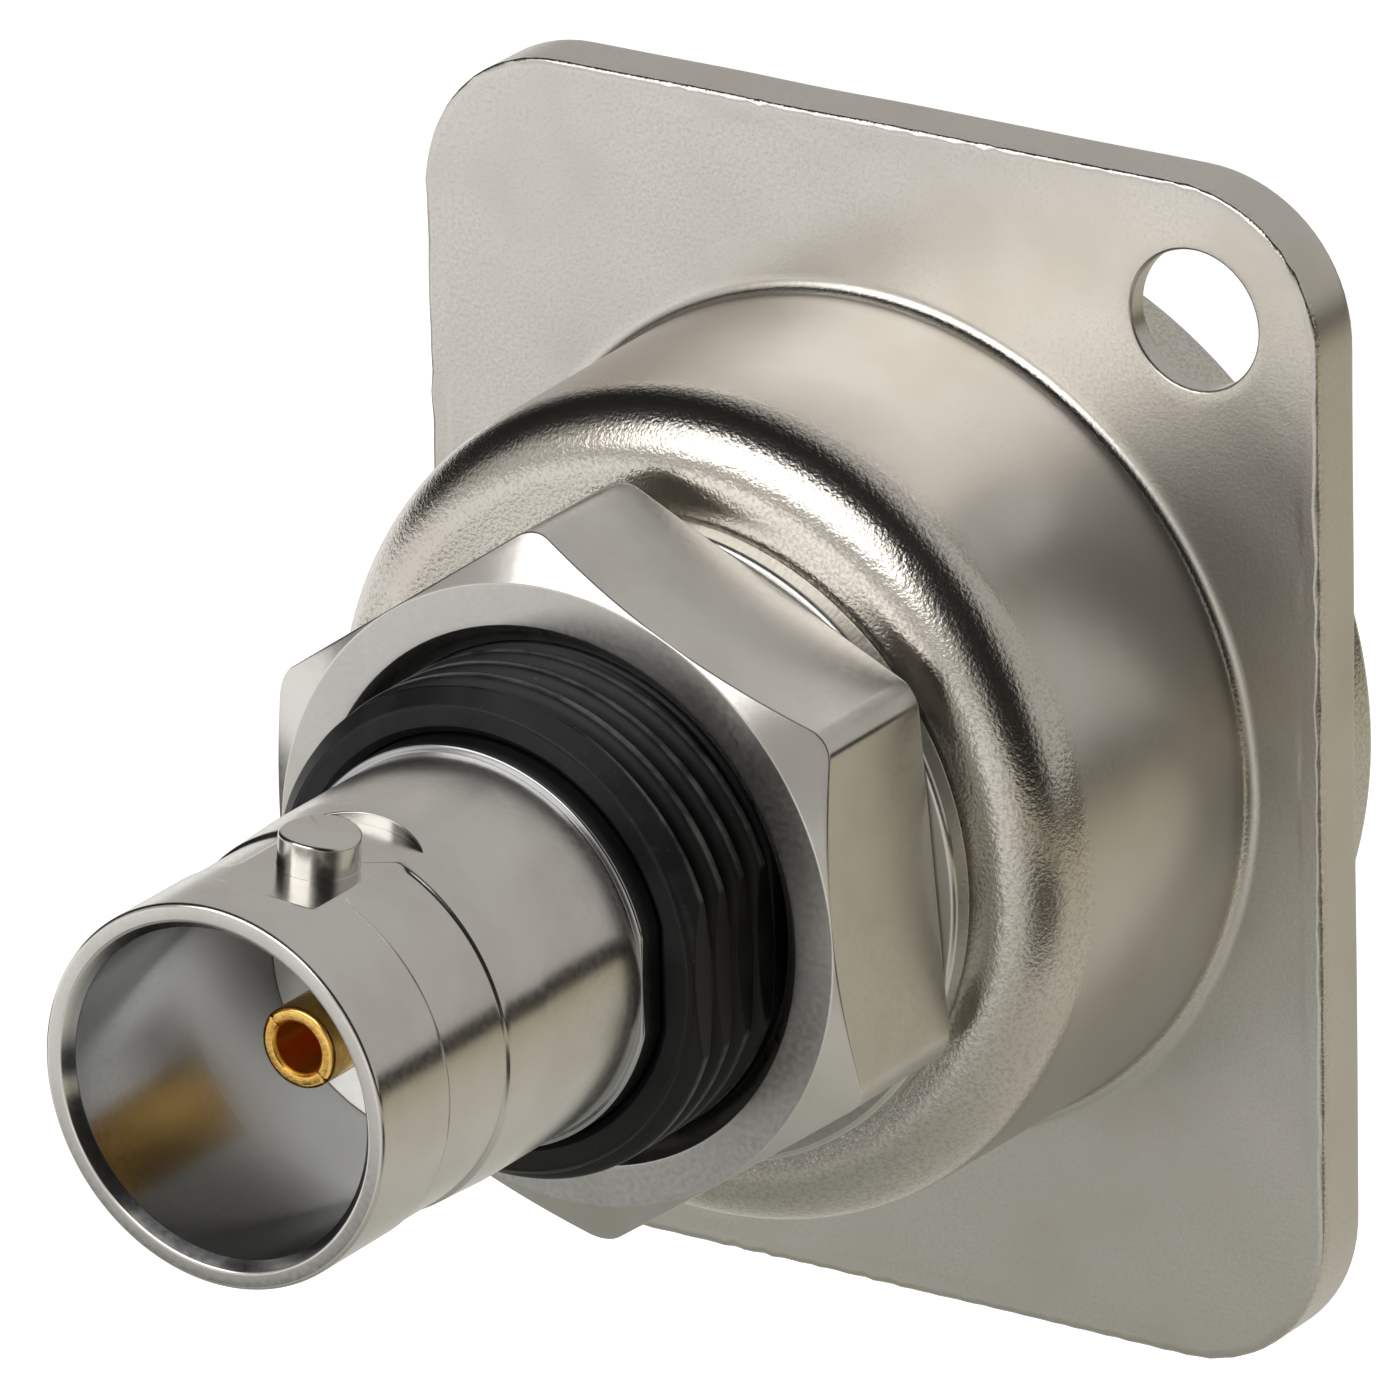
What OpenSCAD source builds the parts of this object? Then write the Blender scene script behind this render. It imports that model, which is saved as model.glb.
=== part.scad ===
// Panel feed-through with a bayonet coaxial jack at each end. A flanged die-cast
// cup goes through the panel, a black insulating bushing passes through the floor of
// the cup and is held by a washer and a hex nut, and two turned jack bodies are joined
// inside the bushing, so that the jacks are electrically apart from the panel.
//
// Frame: the jack axis is Y. The nut side is -Y. The face of the flange that lies on the
// panel is the plane Y = 0, and Z runs along the longer side of the flange.

/* [Flange] */
// Width of the flange, along X
flange_w = 26; // [25.5:0.5:30]
// Height of the flange, along Z
flange_h = 31; // [30.5:0.5:36]
// Thickness of the flange
flange_t = 1.8; // [1.5:0.1:3]
// Radius of the flange's corners
flange_corner_r = 4; // [2:0.25:5]
// Rounding of the flange's outer edge
flange_edge_r = 0.2; // [0.1:0.05:0.4]
// Distance between the screw holes, along X
hole_pitch_x = 19; // [18.5:0.5:19.5]
// Distance between the screw holes, along Z
hole_pitch_z = 24; // [23:0.5:24.5]
// Diameter of each screw hole
hole_d = 3.6; // [3.2:0.1:3.8]
// Diameter of the countersink on the user's side of each screw hole
sink_d = 6; // [5.4:0.1:6]

/* [Cup] */
// Radius of the cup's wall where it leaves the flange
cup_r = 10.9; // [10.8:0.05:11.2]
// How much the cup's wall draws in from the flange to the shoulder
cup_taper = 0.15; // [0:0.05:0.3]
// Depth of the cup behind the flange
cup_depth = 8.8; // [8.6:0.1:9.2]
// Radius of the cup's rounded shoulder
shoulder_r = 1.8; // [1.2:0.1:2.2]
// Small blend between the cup and the flange
root_r = 0.35; // [0.2:0.05:0.5]
// Radius of the well inside the cup
well_r = 9.6; // [9.5:0.05:9.7]
// Thickness of the cup's floor
floor_t = 1.6; // [1.4:0.1:1.8]
// Radius of the raised collar on the user's side
collar_r = 11.8; // [11.6:0.1:12.2]
// Height of the collar above the flange
collar_h = 2.8; // [2:0.1:3.2]

/* [Bushing] */
// Outside diameter of the thread on the bushing
thread_d = 12.7; // [12.4:0.05:12.8]
// Distance from thread to thread
thread_pitch = 0.907; // [0.8:0.001:1]
// Distance from the axis to the flat along the thread
thread_flat = 6; // [5.8:0.05:6.1]
// Length of the bushing behind the flange's panel face
bushing_reach = 17.4; // [17:0.1:17.6]
// How far the bushing's head, inside the cup, stands out past the thread
bushing_head_band = 2.45; // [1.7:0.05:2.6]
// Thickness of the bushing's head
bushing_head_t = 1; // [0.8:0.1:1.2]

/* [Nut and washer] */
// Wall of the nut from the thread to each flat
nut_wall = 1.65; // [1.5:0.05:2.1]
// Thickness of the nut
nut_t = 4.65; // [4:0.05:4.8]
// Turn of the nut about the axis, in degrees
nut_turn = 5; // [0:1:59]
// Width of the washer's ring, from its hole to its rim
washer_band = 1.55; // [1.4:0.05:1.7]
// Thickness of the washer
washer_t = 0.8; // [0.5:0.1:0.9]
// How far the washer sits off centre, along X and along -Z
washer_off = 0.2; // [0:0.05:0.25]

/* [Jacks] */
// Distance from the flange's panel face to the mouth of the nut-side jack
rear_mouth = 28.8; // [28.5:0.1:30]
// Distance from the flange's panel face to the mouth of the user-side jack
front_mouth = 5; // [4.8:0.1:5.4]
// Turn of both jacks about the axis, in degrees
jack_turn = 5; // [-10:1:10]
// Outside diameter of the barrel at the mouth
barrel_d = 9.66; // [9.6:0.01:9.7]
// Diameter of the bore of the barrel
bore_d = 8.14; // [8.1:0.01:8.15]
// Diameter over the two bayonet lugs
lug_span = 11; // [10.97:0.01:11.07]
// Diameter of each bayonet lug
lug_d = 2; // [1.91:0.01:2.06]
// Distance from the mouth to the lugs
lug_from_mouth = 4.05; // [3.9:0.05:4.2]
// Radius of the round pocket milled about each lug
pocket_r = 2.6; // [2.3:0.05:2.7]
// Distance from the axis to the floor of each pocket
pocket_floor = 4.63; // [4.5:0.01:4.68]
// Depth of the bore from the mouth to the white insulator
bore_depth = 8.4; // [8.2:0.1:8.5]

/* [Centre contact] */
// Distance from the mouth to the tip of the contact
tip_depth = 3.5; // [3.4:0.1:5.2]
// Outside diameter of the contact
contact_d = 2.14; // [2.06:0.01:2.2]
// Diameter of the socket in the contact
socket_d = 1.37; // [1.34:0.01:1.4]
// Depth of the socket
socket_depth = 4.6; // [4:0.1:4.6]
// Width of the saw cut that makes the two spring fingers
slit_w = 0.25; // [0.15:0.01:0.3]
// Turn of the saw cut about the axis, in degrees
slit_turn = 42; // [0:1:179]

/* [Hidden] */
$fn = 96;
eps = 0.01;

// Levels along the axis, as distances behind the panel face (towards -Y)
floor_y = cup_depth - floor_t;
head_y = floor_y - bushing_head_t;
jack_flange_t = 0.6;
jack_flange_r = 7.2;
web_y = 9;
spigot_end = 13;
ring_end = 18;
washer_back = cup_depth + washer_t;
nut_front = washer_back + nut_t;
collar_front = flange_t + collar_h;

// Radii shared by pieces that fit together
thread_r = thread_d / 2;
thread_depth = 0.55 * thread_pitch;
nut_af = thread_d + 2 * nut_wall;
bushing_head_r = thread_r + bushing_head_band;
washer_hole_r = thread_r + 0.4;
washer_r = washer_hole_r + washer_band;
cup_top_r = cup_r - cup_taper;
bore_r = bore_d / 2;
ring_r = 5.15;
ring_flat = 4.99;
ring_play = 0.05;
spigot_r = 4.7;
spigot_play = 0.05;
seat_r = 4.35;
spigot_bore_r = 4.2;
contact_r = contact_d / 2;
contact_collar_r = 1.6;
contact_collar_y = [11, 13.2];
ring_bore_r = ring_r + ring_play;

// Points of an arc about c, from angle a to angle b
function arc(c, r, a, b, n = 10) =
    [for (i = [0 : n]) let (t = a + (b - a) * i / n) c + r * [cos(t), sin(t)]];

// Everything is drawn along +Z and laid down: towards the nut side, or the user's side
module to_nut_side() { rotate([90, 0, 0]) children(); }
module to_user_side() { rotate([-90, 0, 0]) children(); }

// ---------------------------------------------------------------- housing

// Half section of the flange's edge: square at the panel, rounded on the user's side
module flange_edge_section(reach) {
    polygon(concat([[0, 0], [reach, 0]],
        arc([reach - flange_edge_r, flange_t - flange_edge_r], flange_edge_r, 0, 90, 6),
        [[0, flange_t]]));
}

// The flange with its edge section carried round the outline
module flange_plate() {
    half = [flange_w, flange_h] / 2;
    inner = half - [flange_corner_r, flange_corner_r];
    linear_extrude(flange_t) square(2 * inner, center = true);
    for (turn = [0, 90, 180, 270]) {
        along = turn % 180 == 0 ? inner[1] : inner[0];
        out = turn % 180 == 0 ? inner[0] : inner[1];
        rotate([0, 0, turn])
            translate([out - eps, along, 0])
            rotate([90, 0, 0])
            linear_extrude(2 * along)
            flange_edge_section(flange_corner_r + eps);
    }
    for (sx = [-1, 1], sy = [-1, 1])
        translate([sx * inner[0], sy * inner[1], 0])
            rotate_extrude() flange_edge_section(flange_corner_r);
}

// Outer half section of the cup: root blend, drafted wall, rounded shoulder
module cup_section() {
    polygon(concat(
        [[0, -eps], [cup_r + root_r, -eps]],
        arc([cup_r + root_r, root_r], root_r, 270, 180, 6),
        arc([cup_top_r - shoulder_r, cup_depth - shoulder_r], shoulder_r, 0, 90, 14),
        [[0, cup_depth]]));
}

// Half section of the collar on the user's side
module collar_section() {
    lip = 0.3;
    polygon(concat([[0, 0], [collar_r, 0]],
        arc([collar_r - lip, collar_front - lip], lip, 0, 90, 6),
        [[0, collar_front]]));
}

// Half section of the well, open on the user's side with a bevelled mouth
module well_section() {
    bevel = 0.4;
    blend = 0.5;
    polygon(concat(
        [[0, -floor_y]],
        arc([well_r - blend, -floor_y + blend], blend, -90, 0, 6),
        [[well_r, collar_front - bevel],
         [well_r + bevel + eps, collar_front + eps],
         [0, collar_front + eps]]));
}

// A round hole with one flat, towards +X
module d_shape(r, flat) {
    intersection() {
        circle(r);
        translate([(flat - r) / 2, 0]) square([flat + r, 2 * r], center = true);
    }
}

// Axial section of a screw hole: a small break at the panel, a countersink at the user
module screw_hole() {
    hole_r = hole_d / 2;
    edge_break = 0.08;
    over = 1;
    sink_start = flange_t - (sink_d - hole_d) / 2;
    rotate_extrude()
        polygon([[0, -over],
                 [hole_r + edge_break + over, -over],
                 [hole_r, edge_break],
                 [hole_r, sink_start],
                 [sink_d / 2 + over, flange_t + over],
                 [0, flange_t + over]]);
}

module housing() {
    play = 0.05;
    color("silver")
    difference() {
        union() {
            to_user_side() flange_plate();
            to_user_side() rotate_extrude() collar_section();
            to_nut_side() rotate_extrude() cup_section();
        }
        to_user_side() rotate_extrude() well_section();
        to_nut_side()
            translate([0, 0, floor_y - 1])
            linear_extrude(floor_t + 2)
            d_shape(thread_r + play, thread_flat + play);
        for (s = [-1, 1])
            translate([s * hole_pitch_x / 2, 0, s * hole_pitch_z / 2])
            to_user_side()
            screw_hole();
    }
}

// ---------------------------------------------------------------- bushing

// One turn of the thread as a V groove, cut as a ring
module thread_groove(z) {
    half = thread_pitch * 0.44;
    translate([0, 0, z])
        rotate_extrude()
        polygon([[thread_r - thread_depth, -half * 0.12],
                 [thread_r - thread_depth, half * 0.12],
                 [thread_r + eps, half],
                 [thread_r + eps, -half]]);
}

// Outer half section of the bushing: head in the cup, long shank, bevelled end
module bushing_section() {
    head_bevel = 0.2;
    end_bevel = 0.45;
    polygon([[0, head_y],
             [bushing_head_r - head_bevel, head_y],
             [bushing_head_r, head_y + head_bevel],
             [bushing_head_r, floor_y],
             [thread_r, floor_y],
             [thread_r, bushing_reach - end_bevel],
             [thread_r - end_bevel, bushing_reach],
             [0, bushing_reach]]);
}

module insulating_bushing() {
    mouth_bevel = 0.2;
    groove_count = floor((bushing_reach - nut_front + 0.6) / thread_pitch);
    color([0.08, 0.08, 0.08])
    to_nut_side()
    difference() {
        rotate_extrude() bushing_section();
        // the long flat that keeps the bushing from turning in the cup
        translate([thread_flat, -thread_r - 1, floor_y])
            cube([thread_r, thread_d + 2, bushing_reach]);
        for (i = [0 : groove_count - 1])
            thread_groove(bushing_reach - 0.4 - thread_pitch * (i + 0.5));
        // narrow bore through the web, then the wide bore that keys the jack
        translate([0, 0, head_y - 1])
            cylinder(r = spigot_r + spigot_play, h = web_y - head_y + 2);
        translate([0, 0, web_y])
            linear_extrude(bushing_reach)
            d_shape(ring_bore_r, ring_flat + ring_play);
        translate([0, 0, bushing_reach - mouth_bevel])
            cylinder(r1 = ring_bore_r, r2 = ring_bore_r + mouth_bevel + eps,
                     h = mouth_bevel + eps);
    }
}

// ---------------------------------------------------------------- nut and washer

module flat_washer() {
    edge = 0.15;
    color("gainsboro")
    translate([washer_off, 0, -washer_off])
    to_nut_side()
    rotate_extrude()
        polygon([[washer_hole_r, cup_depth],
                 [washer_r - edge, cup_depth],
                 [washer_r, cup_depth + edge],
                 [washer_r, washer_back - edge],
                 [washer_r - edge, washer_back],
                 [washer_hole_r, washer_back]]);
}

module hex_nut() {
    corner_r = nut_af / 2 / cos(30);
    wear = 0.14;
    worn_r = corner_r - wear;
    crown_r = nut_af / 2;
    crown = (worn_r + 0.5 - crown_r) * tan(30);
    sink = 0.55;
    color("lightgray")
    to_nut_side()
    difference() {
        intersection() {
            translate([0, 0, washer_back])
                rotate([0, 0, nut_turn + 30])
                cylinder(r = corner_r, h = nut_t, $fn = 6);
            // the crown turned on the front corners, and corners worn round
            rotate_extrude()
                polygon([[0, washer_back - 1], [worn_r, washer_back - 1],
                         [worn_r, nut_front - crown + 0.5 * tan(30)],
                         [crown_r, nut_front],
                         [0, nut_front]]);
        }
        translate([0, 0, washer_back - 1]) cylinder(r = thread_r, h = nut_t + 2);
        translate([0, 0, nut_front - sink])
            cylinder(r1 = thread_r, r2 = thread_r + sink + eps, h = sink + eps);
        translate([0, 0, washer_back - eps])
            cylinder(r1 = thread_r + 0.3, r2 = thread_r, h = 0.3);
    }
}

// ---------------------------------------------------------------- jacks

// Half section of a bayonet barrel, from its mouth at 0 to its foot: a straight land at
// the mouth, a shallow relief in line with the lugs, a cone, and a neck at the foot
module barrel_section(foot) {
    r = barrel_d / 2;
    rim = 0.12;
    relief = [2.8, 5.3];
    relief_r = r - 0.05;
    relief_lean = 0.01;
    step = 0.04;
    shoulder_r = r + 0.03;
    cone = [7, r + 0.12];
    neck_r = r - 0.04;
    neck_w = 0.3;
    polygon(concat([[0, 0], [r - rim, 0]],
        arc([r - rim, rim], rim, -90, 0, 5),
        [[r, relief[0]], [relief_r - relief_lean, relief[0] + step],
         [relief_r + relief_lean, relief[1]], [shoulder_r, relief[1] + step],
         [cone[1], cone[0]], [cone[1], foot - neck_w],
         [neck_r, foot - neck_w + step], [neck_r, foot], [0, foot]]));
}

// One bayonet lug standing in the round pocket that the cutter leaves about it
module pocket_cut() {
    cut_h = lug_span / 2 - pocket_floor;
    translate([0, 0, pocket_floor])
        difference() {
            cylinder(r = pocket_r, h = cut_h);
            translate([0, 0, -eps]) cylinder(d = lug_d, h = cut_h + 2 * eps, $fn = 48);
        }
}

// Both lugs, turned to the lug span with a small break at the edge
module lugs() {
    edge = 0.07;
    top = lug_span / 2;
    // how far the turned top has dropped at the lug's side
    drop = top - sqrt(top * top - lug_d * lug_d / 4);
    buried = 0.2;
    intersection() {
        for (s = [-1, 1])
            translate([0, 0, lug_from_mouth])
            rotate([s * 90, 0, 0])
            rotate_extrude($fn = 48)
            polygon([[0, pocket_floor - buried], [lug_d / 2, pocket_floor - buried],
                     [lug_d / 2, top - edge - drop],
                     [lug_d / 2 - edge - drop, top],
                     [0, top]]);
        translate([0, 0, lug_from_mouth - lug_d])
            cylinder(d = lug_span, h = 2 * lug_d);
    }
}

// A barrel with its lugs, mouth at 0, running up to its foot
module bayonet_barrel(foot) {
    difference() {
        rotate_extrude() barrel_section(foot);
        for (s = [-1, 1])
            translate([0, 0, lug_from_mouth]) rotate([s * 90, 0, 0]) pocket_cut();
    }
    lugs();
}

// The bore of a barrel: a bevel at the mouth, then a slow lead-in down to the bore
module barrel_bore(depth) {
    lip_r = bore_r + 0.35;
    bevel = [0.2, bore_r + 0.12];
    lead_end = 5;
    rotate_extrude()
        polygon([[0, -1], [lip_r, -1], [lip_r, 0],
                 [bevel[1], bevel[0]], [bore_r, lead_end],
                 [bore_r, depth], [0, depth]]);
}

module rear_jack_body() {
    foot = rear_mouth - ring_end;
    seat = rear_mouth - spigot_end;
    color("silver")
    translate([0, -rear_mouth, 0])
    to_user_side()
    difference() {
        union() {
            rotate([0, 0, jack_turn]) bayonet_barrel(foot + eps);
            translate([0, 0, foot])
                linear_extrude(ring_end - web_y)
                d_shape(ring_r, ring_flat);
        }
        barrel_bore(rear_mouth);
        translate([0, 0, bore_depth + 1.5])
            cylinder(r = seat_r, h = rear_mouth);
        translate([0, 0, seat])
            cylinder(r = spigot_r, h = rear_mouth);
    }
}

module front_jack_body() {
    foot = front_mouth + head_y - jack_flange_t;
    color("silver")
    translate([0, front_mouth, 0])
    to_nut_side()
    difference() {
        union() {
            rotate([0, 0, jack_turn]) bayonet_barrel(foot + eps);
            translate([0, 0, foot])
                cylinder(r = jack_flange_r, h = jack_flange_t);
            translate([0, 0, foot + jack_flange_t - eps])
                cylinder(r = spigot_r, h = spigot_end - head_y + eps);
        }
        barrel_bore(bore_depth + 2);
        translate([0, 0, bore_depth + 1.5])
            cylinder(r = spigot_bore_r, h = rear_mouth);
    }
}

// ---------------------------------------------------------------- insulators

// White sleeve: a nose that fills the bore, and a thicker seat held inside the body
module dielectric(nose, seat_end, seat_radius) {
    color("white")
    difference() {
        union() {
            translate([0, 0, nose]) cylinder(r = bore_r, h = 1.5 + eps);
            translate([0, 0, nose + 1.5])
                cylinder(r = seat_radius, h = seat_end - nose - 1.5);
        }
        translate([0, 0, nose - 1])
            cylinder(r = contact_r, h = seat_end - nose + 2);
    }
}

module rear_dielectric() {
    translate([0, -rear_mouth, 0])
        to_user_side()
        dielectric(bore_depth, rear_mouth - contact_collar_y[1], seat_r);
}

module front_dielectric() {
    translate([0, front_mouth, 0])
        to_nut_side()
        dielectric(bore_depth, front_mouth + contact_collar_y[0], spigot_bore_r);
}

// ---------------------------------------------------------------- contact

// Socket end of the contact: rounded nose, drilled socket and one saw cut
module socket_cut() {
    lead = 0.12;
    translate([0, 0, -1]) cylinder(d = socket_d, h = socket_depth + 1, $fn = 48);
    translate([0, 0, -eps])
        cylinder(r1 = socket_d / 2 + lead, r2 = socket_d / 2, h = lead, $fn = 48);
    rotate([0, 0, slit_turn])
        translate([-contact_d, -slit_w / 2, -1])
        cube([2 * contact_d, slit_w, socket_depth]);
}

module centre_contact() {
    length = rear_mouth + front_mouth - 2 * tip_depth;
    nose = 0.2;
    collar_at = [for (y = contact_collar_y) rear_mouth - tip_depth - y];
    color("goldenrod")
    translate([0, -rear_mouth + tip_depth, 0])
    to_user_side()
    difference() {
        rotate_extrude($fn = 64)
            polygon(concat([[0, 0]],
                arc([contact_r - nose, nose], nose, -90, 0, 5),
                [[contact_r, collar_at[1]], [contact_collar_r, collar_at[1]],
                 [contact_collar_r, collar_at[0]], [contact_r, collar_at[0]]],
                arc([contact_r - nose, length - nose], nose, 0, 90, 5),
                [[0, length]]));
        socket_cut();
        translate([0, 0, length]) rotate([180, 0, 0]) socket_cut();
    }
}

housing();
insulating_bushing();
flat_washer();
hex_nut();
rear_jack_body();
front_jack_body();
rear_dielectric();
front_dielectric();
centre_contact();
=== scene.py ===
"""Dresses a packed panel feed-through: numpy surfaces, plated and moulded finishes, a studio."""

import logging
from collections.abc import Sequence
from dataclasses import dataclass
from enum import Enum

import bpy
import numpy as np
from mathutils import Matrix, Vector


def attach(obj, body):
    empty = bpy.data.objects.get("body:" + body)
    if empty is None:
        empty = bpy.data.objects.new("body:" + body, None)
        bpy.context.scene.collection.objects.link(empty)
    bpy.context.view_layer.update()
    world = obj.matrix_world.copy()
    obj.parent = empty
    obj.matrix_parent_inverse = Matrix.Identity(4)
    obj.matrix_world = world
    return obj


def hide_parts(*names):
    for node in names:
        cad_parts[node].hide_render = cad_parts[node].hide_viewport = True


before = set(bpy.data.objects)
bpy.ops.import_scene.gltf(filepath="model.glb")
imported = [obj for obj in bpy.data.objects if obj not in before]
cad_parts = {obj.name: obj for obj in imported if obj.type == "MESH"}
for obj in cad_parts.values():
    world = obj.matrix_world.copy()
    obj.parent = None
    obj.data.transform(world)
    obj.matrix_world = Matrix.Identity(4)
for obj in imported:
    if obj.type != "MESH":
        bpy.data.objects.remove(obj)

LOG = logging.getLogger("feed_through")
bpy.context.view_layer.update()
MM = 0.001
WELD_MM = 2e-4
ARC_SHARE = 0.45
TINY = 1e-12
Array = np.ndarray
Tree = bpy.types.NodeTree
Socket = bpy.types.NodeSocket


# ------------------------------------------------------------------ surface tools


@dataclass(frozen=True)
class Corner:
    """One corner of a half section: radius and level in mm, its rounding, and its rows.

    rows counts the strips on the straight that leads up to the corner, steps those round it.
    """

    radius: float | Array
    level: float | Array
    rounding: float = 0.0
    rows: int = 1
    steps: int = 4


def rounded_section(corners: Sequence[Corner], columns: int, closed: bool = False) -> Array:
    """Carries a list of corners into rows of points, each inner corner turned into an arc.

    The arc touches both straights: it starts and ends rounding / tan(half angle) from the
    corner, never past ARC_SHARE of a straight, about a centre on the bisector.

    Args:
        corners: The corners in order, each with one value or one for every column.
        columns: How many columns the section is carried over.
        closed: Whether the last corner leads back to the first.

    Returns:
        An array of (rows, columns, 2), radius then level.
    """
    points = np.stack([np.stack([np.broadcast_to(c.radius, columns),
                                 np.broadcast_to(c.level, columns)], -1)
                       for c in corners]).astype(float)
    count = len(corners)
    arcs: list[Array] = []
    for k, corner in enumerate(corners):
        here = points[k]
        if corner.rounding <= 0 or (not closed and k in (0, count - 1)):
            arcs.append(here[None])
            continue
        back, ahead = points[k - 1] - here, points[(k + 1) % count] - here
        back_len = np.linalg.norm(back, axis=-1, keepdims=True) + TINY
        ahead_len = np.linalg.norm(ahead, axis=-1, keepdims=True) + TINY
        back, ahead = back / back_len, ahead / ahead_len
        half = np.arccos(np.clip((back * ahead).sum(-1, keepdims=True), -1, 1)) / 2
        half = np.clip(half, 0.02, np.pi / 2 - 1e-3)
        reach = np.minimum(corner.rounding / np.tan(half),
                           ARC_SHARE * np.minimum(back_len, ahead_len))
        middle = back + ahead
        middle = middle / (np.linalg.norm(middle, axis=-1, keepdims=True) + TINY)
        centre = here + middle * reach / np.cos(half)
        start, end = here + back * reach - centre, here + ahead * reach - centre
        sweep = np.pi - 2 * half
        t = np.linspace(0, 1, corner.steps + 1)[:, None, None]
        arcs.append(centre + (np.sin((1 - t) * sweep) * start + np.sin(t * sweep) * end)
                    / np.sin(sweep))
    rows = [arcs[0]]
    for k in range(1, count + closed):
        t = np.linspace(0, 1, corners[k % count].rows + 1)[1:-1, None, None]
        rows.append(rows[-1][-1] * (1 - t) + arcs[k % count][0] * t)
        if k < count:
            rows.append(arcs[k])
    return np.concatenate(rows)


def turned(section: Array, phi: Array, centre: tuple[float, float] = (0.0, 0.0)) -> Array:
    """Points of a section carried about the Y axis: x = r sin(phi), z = r cos(phi).

    Args:
        section: (rows, columns, 2) of radius and level.
        phi: The turn of each column from +Z towards +X, in radians.
        centre: Where the axis stands, in X and Z.

    Returns:
        An array of (rows, columns, 3), in mm.
    """
    r, y = section[..., 0], section[..., 1]
    return np.stack([centre[0] + r * np.sin(phi), y, centre[1] + r * np.cos(phi)], -1)


def columns_between(marks: Sequence[float], step: float) -> Array:
    """Turns round a full circle that hit every mark, with even gaps of at most step degrees."""
    marks = sorted(m % 360 for m in marks)
    ends = marks[1:] + [marks[0] + 360]
    parts = [np.linspace(a, b, max(1, int(np.ceil((b - a) / step - 1e-9))), endpoint=False)
             for a, b in zip(marks, ends)]
    return np.radians(np.concatenate(parts))


def columns_near(phi: Array, turn: float, reach: float) -> tuple[Array, Array]:
    """The columns within reach degrees of a turn, in order, and each column's offset from it."""
    off = (phi - turn + np.pi) % (2 * np.pi) - np.pi
    order = np.argsort(off)
    return order[np.abs(off[order]) < np.radians(reach)], off


def flatted(radius: float | Array, flat: float, phi: Array) -> Array:
    """A radius cut by a flat that faces +X: at most flat / cos(angle from +X)."""
    return np.minimum(radius, flat / np.maximum(np.cos(phi - np.pi / 2), 0.2))


def window_loop(grid: Array, rows: tuple[int, int], columns: Array) -> Array:
    """The rim of a window in a grid, once round, starting along its first row.

    Args:
        grid: (rows, columns, ...) values.
        rows: The first and last row of the window.
        columns: The column numbers of the window, in order.

    Returns:
        The values round the rim, without a repeat.
    """
    first, last = rows
    down = np.arange(first, last)
    return np.concatenate([grid[first, columns[:-1]], grid[down, columns[-1]],
                           grid[last, columns[:0:-1]], grid[down[::-1] + 1, columns[0]]])


def blended_rings(inner: Array, outer: Array, steps: int) -> Array:
    """Rings from one loop to another of equal count, each a straight blend of the two."""
    w = np.linspace(0, 1, steps)[:, None, None]
    return inner[None] * (1 - w) + outer[None] * w


def wobble(x: Array, z: Array, size: float, seed: int) -> Array:
    """A smooth unevenness between about -1 and 1: a sum of sine waves in seeded directions.

    Args:
        x: First coordinate in mm.
        z: Second coordinate in mm.
        size: Length of the longest wave in mm.
        seed: Picks the directions and phases.

    Returns:
        An array shaped as x and z together.
    """
    rng = np.random.default_rng(seed)
    total = np.zeros(np.broadcast(x, z).shape)
    waves = 9
    for _ in range(waves):
        turn, phase = rng.uniform(0, 2 * np.pi, 2)
        pitch = size * rng.uniform(0.35, 1.0)
        total = total + np.sin(2 * np.pi * (x * np.cos(turn) + z * np.sin(turn)) / pitch + phase)
    return total / np.sqrt(waves * 2)


def linked(name: str, data: bpy.types.ID) -> bpy.types.Object:
    """Makes an object of some data and puts it in the scene."""
    made = bpy.data.objects.new(name, data)
    bpy.context.scene.collection.objects.link(made)
    return made


def empty_tree(owner: bpy.types.Material | bpy.types.World) -> Tree:
    """Turns nodes on for a material or a world and clears them."""
    owner.use_nodes = True
    owner.node_tree.nodes.clear()
    return owner.node_tree


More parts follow.
